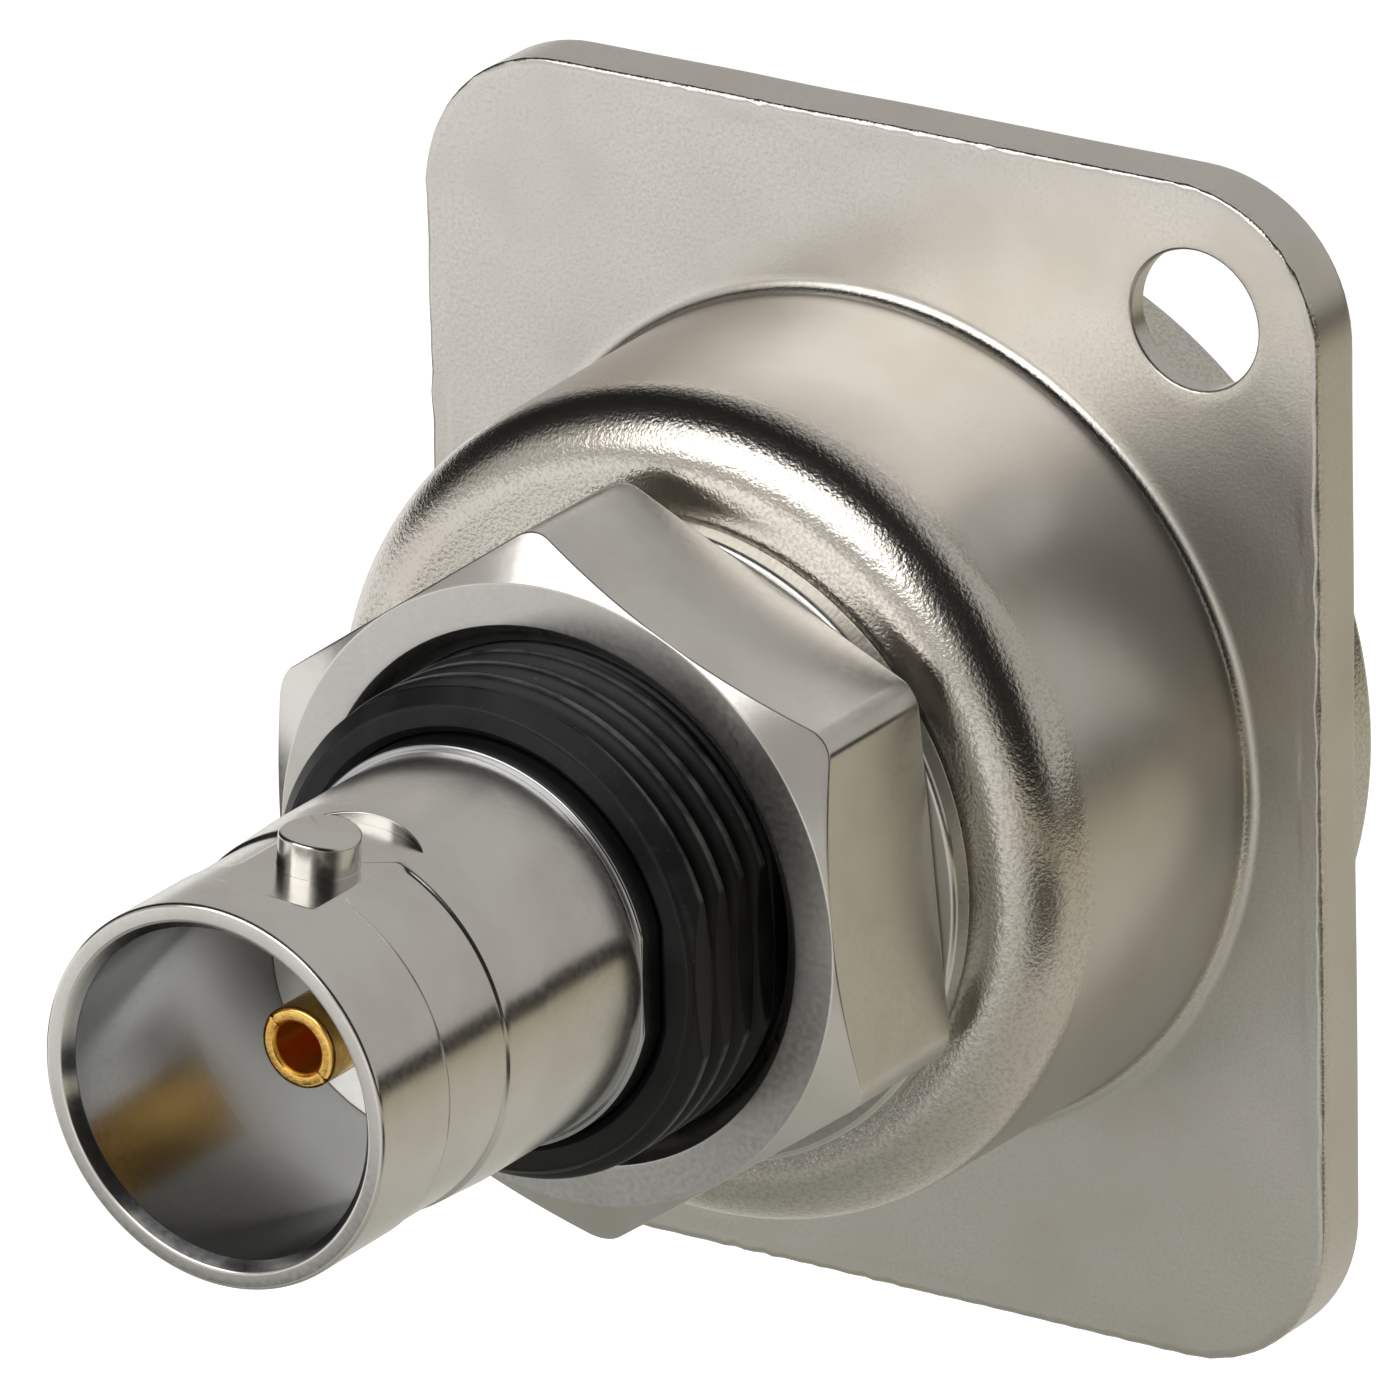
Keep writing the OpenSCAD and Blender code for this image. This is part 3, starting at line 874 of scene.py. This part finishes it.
@dataclass
class Jack(Part):
    """A turned bayonet jack: barrel, two milled lugs in round pockets, relief band, bore.

    Lengths count from the mouth, in mm. way is 1 where the mouth faces -Y and -1 where it
    faces +Y.
    """

    mouth: float = -28.8
    way: int = 1
    turn: float = 5.0
    barrel_r: float = 4.83
    bore_r: float = 4.07
    bore_step: float = 9.9
    lug_at: float = 4.05
    lug_r: float = 1.0
    lug_top: float = 5.5
    lug_edge: float = 0.08
    lug_fillet: float = 0.015
    pocket_r: float = 2.6
    pocket_floor: float = 4.63
    window: tuple[float, float] = (1.3, 6.8)
    window_half: float = 22.0
    relief: tuple[float, float] = (2.8, 5.3)
    relief_depth: float = 0.05
    relief_corner: float = 0.3
    relief_wall: float = 0.04
    land_half: float = 1.53
    cone: tuple[float, float] = (5.34, 7.0)
    foot: float = 10.8
    tail: Tail = Tail.RING
    key_r: float = 5.15
    key_flat: float = 4.99
    key_length: float = 9.0
    recess_from: float = 5.0
    tail_r: float = 4.7
    ring_seat_r: float = 4.35
    flange_r: float = 7.2
    flange_t: float = 0.6
    spigot_end: float = 18.0
    spigot_seat_r: float = 4.2

    def surface_r(self, s: Array, phi: Array) -> Array:
        """Radius of the barrel's outside at a length s and turn phi, without pockets.

        A straight land, a step and a cone up to the body, less the relief: a band of even
        depth whose ends beside the lugs are rounded rectangles.
        """
        r, corner = self.barrel_r, self.relief_corner
        base = np.interp(s, [0, self.relief[1], self.cone[0], self.cone[1]],
                         [r, r, r + 0.03, r + 0.12])
        off = np.abs((phi - np.radians(self.turn) + np.pi / 2) % np.pi - np.pi / 2)
        lateral = r * off - self.land_half
        axial = np.minimum(s - self.relief[0], self.relief[1] - s)
        depth = corner - np.hypot(np.minimum(lateral - corner, 0), np.minimum(axial - corner, 0))
        depth = np.where((lateral > 0) & (axial > 0), np.maximum(depth, 0), 0)
        return base - self.relief_depth * np.clip(depth / self.relief_wall, 0, 1)

    def rows(self) -> Array:
        """Lengths of the outer rows: fine in the lug's window and at each edge."""
        (lo, hi), (near, far) = self.window, self.relief
        edge = np.array([0.0, 0.04, 0.08, 0.13, 0.2, 0.28])
        return np.concatenate([
            np.linspace(0.24, lo, 6, endpoint=False), np.linspace(lo, near, 14, endpoint=False),
            near + edge, np.linspace(near + 0.36, far - 0.36, 16), far - edge[::-1],
            np.linspace(self.cone[0], hi, 12), np.linspace(self.cone[1], self.foot - 0.3, 8),
            [self.foot - 0.03]])

    def shell(self) -> Shell:
        """The turned grid with two windows, and a patch of rings for each lug and pocket."""
        lugs = self.turn, self.turn + 180
        phi = columns_between([lug + way * self.window_half for lug in lugs for way in (-1, 1)],
                              1.7)
        s_rows = self.rows()
        outer_r = self.surface_r(s_rows[:, None], phi[None])
        outer = np.stack([outer_r, np.broadcast_to(s_rows[:, None], outer_r.shape)], -1)
        inner = rounded_section([
            Corner(self.bore_r, self.bore_step),
            Corner(self.bore_r, 5.0, 0.5, rows=6, steps=2),
            Corner(self.bore_r + 0.08, 0.3, 0.05, rows=8, steps=2),
            Corner(self.bore_r + 0.32, 0.0, 0.1, rows=2),
            Corner(self.barrel_r, 0.0, 0.22, rows=2, steps=7),
            Corner(self.barrel_r, 0.26),
        ], len(phi))[:-1]
        tail = self.tail_section(phi, outer_r[-1])
        section = np.concatenate([inner, outer, tail])
        grid = turned(section, phi)
        grid[..., 1] = self.mouth + self.way * section[..., 1]
        rows = tuple(len(inner) + int(np.argmin(np.abs(s_rows - at))) for at in self.window)
        shell, windows, back = Shell(), [], self.way < 0
        for lug in lugs:
            columns, off = columns_near(phi, np.radians(lug), self.window_half + 0.01)
            windows.append((rows, columns))
            rim_s = window_loop(section[..., 1], rows, columns)
            rim_off = window_loop(np.broadcast_to(off, section.shape[:2]), rows, columns)
            shell.patch(self.lug_rings(rim_s, rim_off, np.radians(lug)), flip=back)
        # Grain 1 outside and on the mouth's lip, 0 in the bore and the hidden tail, which the
        # finish paints darker as shade.
        outside = np.ones(len(grid))
        outside[:len(inner)] = inner[:, 0, 1] < 0.12
        outside[-len(tail):] = 0.0
        return shell.patch(grid, windows=windows, flip=back, grain=outside)

    def tail_section(self, phi: Array, neck: Array) -> Array:
        """The hidden end: the keyed ring and recess, or the flange and the spigot."""
        foot, r = self.foot, self.tail_r
        if self.tail is Tail.RING:
            key, end, recess = (flatted(self.key_r, self.key_flat, phi), foot + self.key_length,
                                foot + self.recess_from)
            hidden = [Corner(key, foot, 0.08, rows=2, steps=3), Corner(key, end, rows=4),
                      Corner(r, end), Corner(r, recess, rows=2),
                      Corner(self.ring_seat_r, recess),
                      Corner(self.ring_seat_r, self.bore_step, rows=3)]
        else:
            back, end = foot + self.flange_t, self.spigot_end
            hidden = [Corner(self.flange_r, foot, 0.08, rows=4, steps=3),
                      Corner(self.flange_r, back, 0.05, steps=2), Corner(r, back, rows=2),
                      Corner(r, end, rows=4), Corner(self.spigot_seat_r, end),
                      Corner(self.spigot_seat_r, self.bore_step, rows=4)]
        return rounded_section([Corner(neck, foot - 0.01), Corner(neck, foot), *hidden,
                                Corner(self.bore_r, self.bore_step)], len(phi))

    def pocket_outline(self, rim: Array, rim_off: Array, crease: Array) -> tuple[Array, Array]:
        """The pocket's edge beside each point of the window's rim, and its heading.

        The edge is the round cutter where it meets the barrel, and the crease where the flat
        floor runs out of the barrel's curve.

        Args:
            rim: The window's rim, across the barrel and along it from the lug's axis.
            rim_off: The rim's turn from the lug.
            crease: Half the floor's width, where it meets the barrel.

        Returns:
            The edge as points, and the turn of each about the lug's axis.
        """
        half = np.sqrt(np.maximum(self.pocket_r ** 2 - crease ** 2, 0))
        sides = (np.abs(rim[:, 1]) <= half) & (np.abs(np.degrees(rim_off))
                                               > self.window_half - 0.5)
        outline = np.where(sides[:, None],
                           np.stack([np.sign(rim[:, 0]) * crease, rim[:, 1]], -1), 0.0)
        for middle in (np.pi, 0.0):
            index = np.nonzero(~sides & ((rim[:, 1] < 0) == (middle > 0)))[0]
            gaps = np.nonzero(np.diff(index) > 1)[0]
            index = np.roll(index, -(gaps[0] + 1) if len(gaps) else 0)
            ends = outline[[index[0] - 1, (index[-1] + 1) % len(rim)]]
            turns = np.arctan2(ends[:, 0], ends[:, 1])
            turns = middle + (turns - middle + np.pi) % (2 * np.pi) - np.pi
            t = np.linspace(*turns, len(index) + 2)[1:-1]
            outline[index] = self.pocket_r * np.stack([np.sin(t), np.cos(t)], -1)
        return outline, np.arctan2(outline[:, 0], outline[:, 1])

    def lug_rings(self, rim_s: Array, rim_off: Array, lug: float) -> Array:
        """Rings about one lug's axis, from the window's rim in to the middle of the lug's top.

        Across the barrel x = r sin(off), and the height over the axis is h; the floor meets
        the barrel at x = sqrt(r^2 - floor^2).
        """
        rim_r = self.surface_r(rim_s, rim_off + lug)
        rim = np.stack([rim_r * np.sin(rim_off), rim_s - self.lug_at], -1)
        crease = np.sqrt(np.maximum(self.surface_r(rim_s, np.full_like(rim_s, lug)) ** 2
                                    - self.pocket_floor ** 2, 1e-6))
        outline, heading = self.pocket_outline(rim, rim_off, crease)
        around = np.stack([np.sin(heading), np.cos(heading)], -1)

        def ring(flat: Array, height: Array | float) -> Array:
            """One ring: points across and along the barrel, and their height."""
            return np.concatenate([flat, np.broadcast_to(height, len(flat))[:, None]], 1)

        def on_barrel(flat: Array) -> Array:
            """Height of the barrel over points given across and along it."""
            off = np.arcsin(np.clip(flat[:, 0] / self.barrel_r, -1, 1))
            r = self.surface_r(flat[:, 1] + self.lug_at, off + lug)
            return np.sqrt(np.maximum(r ** 2 - flat[:, 0] ** 2, 0))

        def top(flat: Array) -> Array:
            """Height of the lug's turned top."""
            return np.sqrt(self.lug_top ** 2 - flat[:, 0] ** 2)

        flats = [rim * (1 - w) + outline * w for w in (0, 0.25, 0.5, 0.62, 0.72, 0.9, 1.0)]
        rings = [ring(flat, on_barrel(flat)) for flat in flats]
        rings[0][:, 2] = rim_r * np.cos(rim_off)
        crest, base, snug = rings[-1][:, 2], self.pocket_floor, 0.02
        floor = np.minimum(base, crest)
        deep = (crest - floor) / 2
        size = np.linalg.norm(outline, axis=1, keepdims=True)
        rings += [ring(outline, crest - np.minimum(0.03, deep)),
                  ring(outline, floor + np.minimum(snug, deep)), ring(outline, floor),
                  ring(outline * (1 - snug / size), base)]
        edge, fillet = self.lug_edge, self.lug_fillet
        root, side = self.lug_r + fillet, self.lug_r * around
        rings += [ring(outline * (1 - w) + root * around * w, base)
                  for w in np.linspace(0, 1, 7)[1:]]
        rings += [ring((root - fillet * np.sin(k)) * around, base + fillet * (1 - np.cos(k)))
                  for k in np.radians([35, 70, 90])]
        rings += [ring(side, (base + fillet) * (1 - w) + (top(side) - edge) * w)
                  for w in (0.5, 1.0)]
        for k in np.radians([30, 60, 90]):
            flat = (self.lug_r - edge * (1 - np.cos(k))) * around
            rings.append(ring(flat, top(flat) - edge * (1 - np.sin(k))))
        for share in (0.8, 0.6, 0.4, 0.2, 0.0):
            flat = (self.lug_r - edge) * share * around
            rings.append(ring(flat, top(flat)))
        x, s, h = np.moveaxis(np.stack(rings), -1, 0)
        return np.stack([x * np.cos(lug) + h * np.sin(lug),
                         self.mouth + self.way * (s + self.lug_at),
                         h * np.cos(lug) - x * np.sin(lug)], -1)


# ------------------------------------------------------------------ insulators, contact


@dataclass
class Insulator(Part):
    """A white sleeve: a nose that fills the bore and a thicker seat behind it."""

    nose: float = -20.4
    way: int = 1
    nose_r: float = 4.07
    seat_r: float = 4.35
    seat_from: float = 1.5
    length: float = 7.2
    hole_r: float = 1.07

    def shell(self) -> Shell:
        """One closed section; levels count from the nose."""
        phi = columns_between([0, 180], 2.5)
        section = rounded_section([
            Corner(self.hole_r, 0.0, 0.05, steps=2),
            Corner(self.nose_r, 0.0, 0.05, rows=5, steps=2),
            Corner(self.nose_r, self.seat_from, rows=2),
            Corner(self.seat_r, self.seat_from),
            Corner(self.seat_r, self.length, rows=3),
            Corner(self.hole_r, self.length, rows=3),
        ], len(phi), closed=True)
        section[..., 1] = self.nose + self.way * section[..., 1]
        return Shell().patch(turned(section, phi), loop=True)


@dataclass
class Contact(Part):
    """The gold-plated centre contact: a tube with two spring fingers at both ends."""

    ends: tuple[float, float] = (-25.3, 1.5)
    outer_r: float = 1.07
    socket_r: float = 0.685
    nose: float = 0.13
    lead: float = 0.08
    slit: float = 0.14
    slit_depth: float = 3.6
    socket_depth: float = 4.6
    pinch: float = 0.06
    pinch_power: float = 1.3
    slit_turns: tuple[float, float] = (132.0, 48.0)
    collar: tuple[float, float] = (-13.2, -11.0)
    collar_r: float = 1.6

    def finger(self, end: float, way: int, turn: float) -> Array:
        """One spring finger: a closed strip of arcs, thin at its rounded nose.

        Round the strip go the outer arc and the inner arc, each ending asin(slit / 2r) short
        of the saw cut's plane; along it the outer radius follows a quarter circle at the nose,
        and the finger leans in until the cut is nearly shut at the tip, so that it grips.
        """
        t = np.linspace(0, np.pi / 2, 8)
        s = np.concatenate([self.nose * (1 - np.cos(t)),
                            np.linspace(0.3, self.slit_depth + 0.1, 14)])
        outer = np.where(s < self.nose, self.outer_r - self.nose
                         + np.sqrt(np.maximum(self.nose ** 2 - (self.nose - s) ** 2, 0)),
                         self.outer_r)
        inner = np.minimum(self.socket_r + np.maximum(self.lead - s, 0), outer - 0.02)
        facing = np.radians(turn) + np.pi / 2
        u = np.linspace(-1, 1, 33)
        strips = []
        for r, along in ((outer, u), (inner, u[::-1])):
            reach = np.pi / 2 - np.arcsin(self.slit / 2 / r)
            turns = facing + along[None] * reach[:, None]
            strips.append(np.stack([r[:, None] * np.sin(turns),
                                    np.broadcast_to(end + way * s[:, None], turns.shape),
                                    r[:, None] * np.cos(turns)], -1))
        body = np.concatenate(strips, axis=1)
        lean = self.pinch * np.clip(1 - s / self.slit_depth, 0, 1) ** self.pinch_power
        body -= lean[:, None, None] * np.array([np.sin(facing), 0.0, np.cos(facing)])
        middle, tail = ((body[k] + body[k, ::-1])[None] / 2 for k in (0, -1))
        return np.concatenate([middle, body, tail])

    def shell(self) -> Shell:
        """Four fingers, and the tube between them with its collar and its two sockets."""
        shell = Shell()
        for end, way, turn in zip(self.ends, (1, -1), self.slit_turns):
            for side in (0, 180):
                strip = self.finger(end, way, turn + side)
                # Grain 1 on the finger's outer side and nose, 0 on its socket side, which the gold
                # paints with light.
                outside = np.zeros(strip.shape[:2])
                outside[:, :strip.shape[1] // 2] = 1.0
                outside[1:4] = 1.0
                shell.patch(strip, flip=way > 0, grain=outside)
        phi = columns_between([0, 180], 6.0)
        low, high = self.ends
        section = rounded_section([
            Corner(0.0, low + self.socket_depth),
            Corner(self.socket_r, low + self.socket_depth),
            Corner(self.socket_r, low + self.slit_depth),
            Corner(self.outer_r, low + self.slit_depth),
            Corner(self.outer_r, self.collar[0], rows=3),
            Corner(self.collar_r, self.collar[0], 0.05, steps=2),
            Corner(self.collar_r, self.collar[1], 0.05, steps=2),
            Corner(self.outer_r, self.collar[1]),
            Corner(self.outer_r, high - self.slit_depth, rows=3),
            Corner(self.socket_r, high - self.slit_depth),
            Corner(self.socket_r, high - self.socket_depth),
            Corner(0.0, high - self.socket_depth),
        ], len(phi))
        # Grain 0 in the sockets takes the gold's painted light colour.
        return shell.patch(turned(section, phi), flip=True,
                           grain=(section[..., 0] > self.outer_r - 0.01).astype(float))


# ------------------------------------------------------------------ studio


@dataclass(frozen=True)
class PaintedFloorShade:
    """A round painted shade in the floor's glow: its centre, full and vanishing radius in mm, its
    tone.
    """

    at: tuple[float, float]
    reach: tuple[float, float]
    tone: str


@dataclass(frozen=True)
class SoftBox:
    """A rectangle of light: its place and size in mm, its power, and whether metal mirrors it."""

    name: str
    at: tuple[float, float, float]
    size: tuple[float, float]
    power: float
    mirrored: bool = True

    def build(self) -> None:
        """Makes the lamp and turns it to the origin."""
        data = bpy.data.lights.new(self.name, "AREA")
        data.shape = "RECTANGLE"
        data.size, data.size_y = self.size[0] * MM, self.size[1] * MM
        data.energy = self.power
        lamp = linked(self.name, data)
        lamp.visible_glossy = self.mirrored
        spot = Vector(self.at) * MM
        lamp.matrix_world = Matrix.Translation(spot) @ (
            spot.to_track_quat("Z", "Y").to_matrix().to_4x4())


@dataclass
class Studio:
    """A pale floor, a tent that is dark beside and above the object, two lamps, the camera."""

    floor_level: float = -45.0
    floor_reach: float = 4000.0
    camera_from: tuple[float, float, float] = (216.61, -335.40, 156.79)
    camera_at: tuple[float, float, float] = (-5.087, 0.0, -0.738)
    roll: float = -1.246
    lens: float = 445.0
    floor_along: tuple[float, float, float] = (0.90, 0.43, 0.0)
    # Painted light and shade in the floor's mirrored glow: bright on the lamp's side, warm and
    # duller behind, dark far off.
    floor_painted_tones: tuple[tuple[float, str], ...] = (
        (-130.0, "#fbfaf8"), (0.0, "#c6c3bb"), (110.0, "#bbb6a7"), (145.0, "#b5af9b"),
        (245.0, "#a8a28f"), (300.0, "#2a2925"))
    # Strength of the floor's glow of painted light, which only the metal mirrors.
    floor_painted_glow: float = 1.2
    floor_lift: float = 0.6
    # Painted shade in the floor's glow: a painted shadow under the part and dark patches about it.
    painted_shades: tuple[PaintedFloorShade, ...] = (
        PaintedFloorShade((-20.0, -30.0), (15.0, 72.0), "#97988f"),
        PaintedFloorShade((-50.0, -93.0), (15.0, 32.0), "#0c1512"),
        PaintedFloorShade((110.0, -75.0), (35.0, 75.0), "#33322f"),
        PaintedFloorShade((-150.0, -15.0), (30.0, 70.0), "#4a4945"))
    lamps: tuple[SoftBox, ...] = (
        SoftBox("key_box", (-104.0, -385.0, 308.0), (480.0, 360.0), 1.28),
        SoftBox("fill", (-50.0, -480.0, 200.0), (120.0, 120.0), 1.6, mirrored=False))
    tent_low: str = "#c8c4bd"
    tent_high: str = "#cfcecb"
    tent_dark: str = "#232220"
    tent_front: str = "#cbc8c2"
    tent_axis: tuple[float, float, float] = (0.35, 0.85, -0.10)
    dark_to_back: tuple[float, float] = (0.12, 0.36)
    front_axis: tuple[float, float, float] = (-0.35, -0.90, 0.0)
    dark_to_front: tuple[float, float] = (0.50, 0.72)

    def floor(self) -> None:
        """A flat pale sheet below the part, plain white where the camera sees it directly.

        What the metal mirrors of it is painted light and shade in a glow, as a lit table looks:
        white on the lamp's side, warm and duller behind on the right, dark far off, and painted
        shade before the part.
        """
        side = np.array([-self.floor_reach, self.floor_reach])
        x, y = np.meshgrid(side, side, indexing="ij")
        corners = np.stack([x, y, np.full_like(x, self.floor_level)], -1).reshape(-1, 3)
        mesh = bpy.data.meshes.new("floor")
        mesh.from_pydata(corners * MM, [], [(0, 2, 3, 1)])
        linked("floor", mesh)
        made = bpy.data.materials.new("matt_paper_and_painted_glow")
        tree = empty_tree(made)
        seen = add_node(tree, "ShaderNodeLightPath").outputs["Is Camera Ray"]
        place = add_node(tree, "ShaderNodeTexCoord").outputs["Object"]
        along = vector_math(tree, "DOT_PRODUCT", place, self.floor_along)
        low, high = self.floor_painted_tones[0][0], self.floor_painted_tones[-1][0]
        ramp = add_node(tree, "ShaderNodeValToRGB",
                        {0: remap(tree, along, (low * MM, high * MM), (0, 1))})
        stops = ramp.color_ramp.elements
        for k, (at, colour) in enumerate(self.floor_painted_tones):
            share = (at - low) / (high - low)
            stop = stops[k] if k < 2 else stops.new(share)
            stop.position, stop.color = share, linear(colour)
        tone = ramp.outputs["Color"]
        # Each painted shade darkens the glowing floor's tone about its centre.
        for shade in self.painted_shades:
            spot = (shade.at[0] * MM, shade.at[1] * MM, self.floor_level * MM)
            away = vector_math(tree, "DISTANCE", place, spot)
            clear = remap(tree, away, (shade.reach[0] * MM, shade.reach[1] * MM), (0, 1))
            tone = blend_colours(tree, clear, shade.tone, tone)
        # The floor the metal mirrors glows with this painted light and shade. The lamps do not
        # light it.
        glow = add_node(tree, "ShaderNodeEmission",
                        {"Strength": self.floor_painted_glow, "Color": tone}).outputs[0]
        matt = add_node(tree, "ShaderNodeBsdfDiffuse", {"Color": (1, 1, 1, 1)}).outputs[0]
        lift = add_node(tree, "ShaderNodeEmission", {"Strength": self.floor_lift}).outputs[0]
        both = add_node(tree, "ShaderNodeAddShader", {0: matt, 1: lift}).outputs[0]
        shown = add_node(tree, "ShaderNodeMixShader", {0: seen, 1: glow, 2: both}).outputs[0]
        add_node(tree, "ShaderNodeOutputMaterial", {"Surface": shown})
        mesh.materials.append(made)

    def tent(self) -> None:
        """The surroundings: a grey wall behind, a grey wall in front, dark between them."""
        world = bpy.data.worlds.new("tent")
        bpy.context.scene.world = world
        tree = empty_tree(world)
        place = add_node(tree, "ShaderNodeTexCoord").outputs["Generated"]
        height = add_node(tree, "ShaderNodeSeparateXYZ", {0: place}).outputs[2]
        wall = blend_colours(tree, remap(tree, height, (0.0, 0.9), (0, 1)),
                             self.tent_low, self.tent_high)
        behind = remap(tree, vector_math(tree, "DOT_PRODUCT", place, self.tent_axis),
                       self.dark_to_back, (0, 1))
        before = remap(tree, vector_math(tree, "DOT_PRODUCT", place, self.front_axis),
                       self.dark_to_front, (0, 1))
        colour = blend_colours(tree, before, blend_colours(tree, behind, self.tent_dark, wall),
                               self.tent_front)
        light = add_node(tree, "ShaderNodeBackground", {"Strength": 1.0, "Color": colour})
        add_node(tree, "ShaderNodeOutputWorld", {"Surface": light.outputs[0]})

    def camera(self) -> None:
        """A long lens on the object, rolled a little."""
        data = bpy.data.cameras.new("camera")
        data.lens, data.sensor_width = self.lens, 36.0
        data.clip_start, data.clip_end = 0.01, 100.0
        camera = linked("camera", data)
        spot = Vector(self.camera_from) * MM
        back = (spot - Vector(self.camera_at) * MM).normalized()
        look = back.to_track_quat("Z", "Y").to_matrix().to_4x4()
        camera.matrix_world = (Matrix.Translation(spot) @ look
                               @ Matrix.Rotation(np.radians(self.roll), 4, "Z"))
        bpy.context.scene.camera = camera

    def build(self) -> None:
        """Sets the floor, the tent, the lamps, the camera and the view."""
        self.floor()
        self.tent()
        for lamp in self.lamps:
            lamp.build()
        self.camera()
        bpy.context.scene.view_settings.view_transform = "Standard"


def parts() -> list[Part]:
    """Every sub-assembly, in the order in which the object is put together."""
    bright = NickelOnBrass("bright_nickel_on_turned_brass", Slot.BRIGHT_NICKEL)
    faced = NickelOnBrass("bright_nickel_on_milled_brass", Slot.BRIGHT_NICKEL, roughness=0.23,
                          uneven=0.8)
    ptfe = TurnedPtfe("turned_white_ptfe", Slot.WHITE_INSULATOR)
    return [
        Housing("housing", NickelOnZinc("satin_nickel_on_cast_zinc", Slot.SATIN_NICKEL)),
        Bushing("insulating_bushing", BlackAcetal("black_moulded_acetal", Slot.BLACK_PLASTIC)),
        Washer("flat_washer", faced),
        HexNut("hex_nut", faced),
        Jack("rear_jack_body", bright),
        Jack("front_jack_body", bright, mouth=5.0, way=-1, foot=10.6, tail=Tail.FLANGE),
        Insulator("rear_dielectric", ptfe),
        Insulator("front_dielectric", ptfe, nose=-3.4, way=-1, seat_r=4.2, length=7.6),
        Contact("centre_contact", GoldPlate("gold_on_spring_alloy", Slot.GOLD_PLATE)),
    ]


def main() -> None:
    """Builds every piece, then the studio."""
    logging.basicConfig(level=logging.INFO, format="%(name)s: %(message)s")
    for part in parts():
        part.build()
    Studio().build()


if __name__ == "__main__":
    main()
